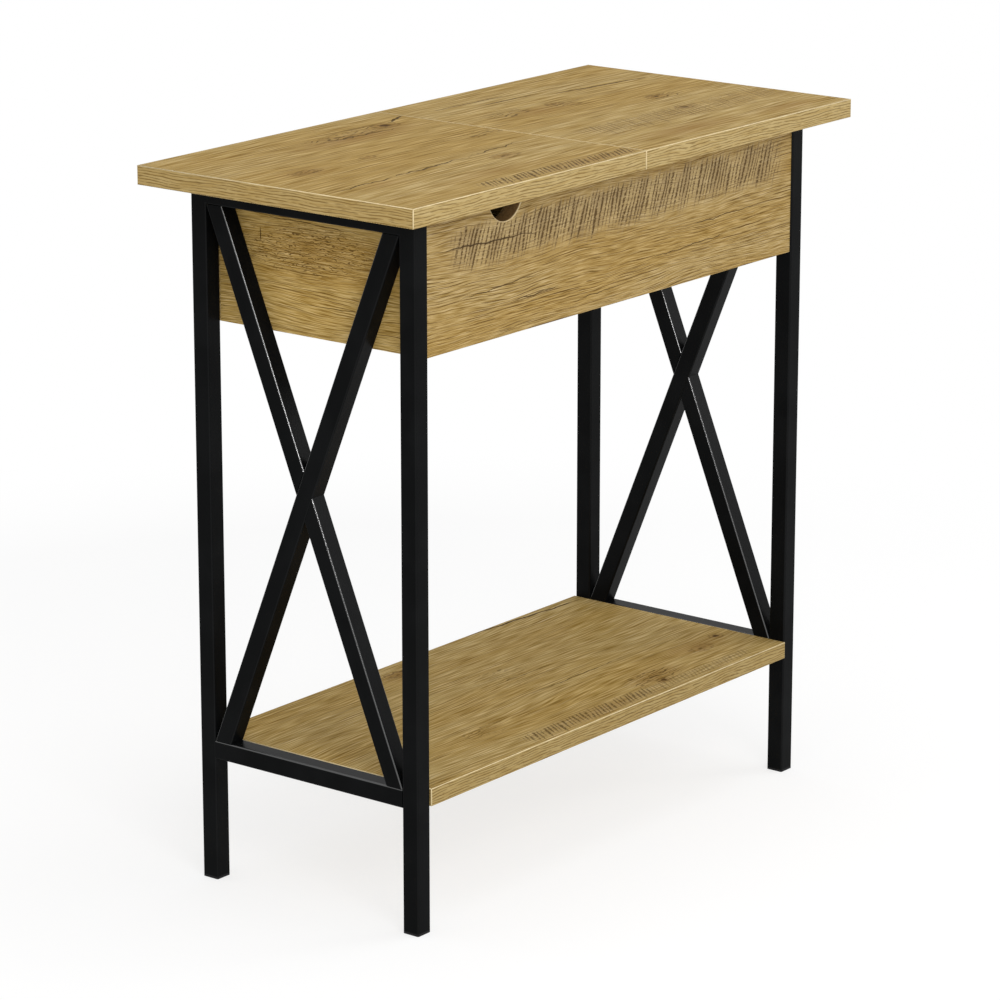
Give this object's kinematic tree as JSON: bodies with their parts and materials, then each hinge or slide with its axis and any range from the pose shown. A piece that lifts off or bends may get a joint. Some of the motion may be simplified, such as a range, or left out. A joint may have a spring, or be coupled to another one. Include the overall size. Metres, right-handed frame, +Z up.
{
  "type": "lift top end table",
  "caption": "Narrow end table with square-tube end frames, X braces, an oak-look top whose hinged half lifts off a storage box with a finger notch, and a low shelf.",
  "frame": {"origin": "on the floor under the middle of the table", "axes": "+X along the length towards the fixed half of the top, +Y from the front with the finger notch to the back, +Z up"},
  "size_m": [0.6032, 0.2858, 0.6096],
  "materials": {
    "oak_laminate": "matt oak grain laminate",
    "oak_edge_band": "matt oak edge band",
    "black_steel": "matt black powder coat",
    "zinc_hardware": "zinc plated",
    "black_plastic": "moulded",
    "beech_dowel": "plain"
  },
  "bodies": {
    "table": {"apron_hinge_screws": "zinc_hardware", "back_apron": "oak_laminate", "bottom_panel": "oak_laminate", "box_bolts": "zinc_hardware", "cam_bolts": "zinc_hardware", "cam_nuts": "zinc_hardware", "divider": "oak_laminate", "fixed_top_board": "oak_laminate", "fixed_top_dowels": "beech_dowel", "fixed_top_edge_bands": "oak_edge_band", "fixed_top_screws": "zinc_hardware", "front_apron": "oak_laminate", "left_back_foot": "black_plastic", "left_back_leg": "black_steel", "left_bottom_rail": "black_steel", "left_end_panel": "oak_laminate", "left_front_foot": "black_plastic", "left_front_leg": "black_steel", "left_hinge_apron_leaf": "zinc_hardware", "left_hinge_pin": "zinc_hardware", "left_long_brace": "black_steel", "left_lower_brace": "black_steel", "left_rail_nuts": "zinc_hardware", "left_tabs": "black_steel", "left_top_rail": "black_steel", "left_upper_brace": "black_steel", "panel_dowels": "beech_dowel", "right_back_foot": "black_plastic", "right_back_leg": "black_steel", "right_bottom_rail": "black_steel", "right_end_panel": "oak_laminate", "right_front_foot": "black_plastic", "right_front_leg": "black_steel", "right_hinge_apron_leaf": "zinc_hardware", "right_hinge_pin": "zinc_hardware", "right_long_brace": "black_steel", "right_lower_brace": "black_steel", "right_rail_nuts": "zinc_hardware", "right_tabs": "black_steel", "right_top_rail": "black_steel", "right_upper_brace": "black_steel", "shelf_board": "oak_laminate", "shelf_edge_bands": "oak_edge_band", "tab_screws": "zinc_hardware"},
    "lid": {"lid_board": "oak_laminate", "lid_edge_bands": "oak_edge_band", "lid_hinge_screws": "zinc_hardware", "left_hinge_lid_leaf": "zinc_hardware", "right_hinge_lid_leaf": "zinc_hardware"}
  },
  "joints": [
    {"name": "lid_hinge", "type": "hinge", "parent": "table", "child": "lid", "pos_m": [-0.15094, 0.11887, 0.5896], "axis": [-1, 0, 0], "range_deg": [0, 100]}
  ]
}
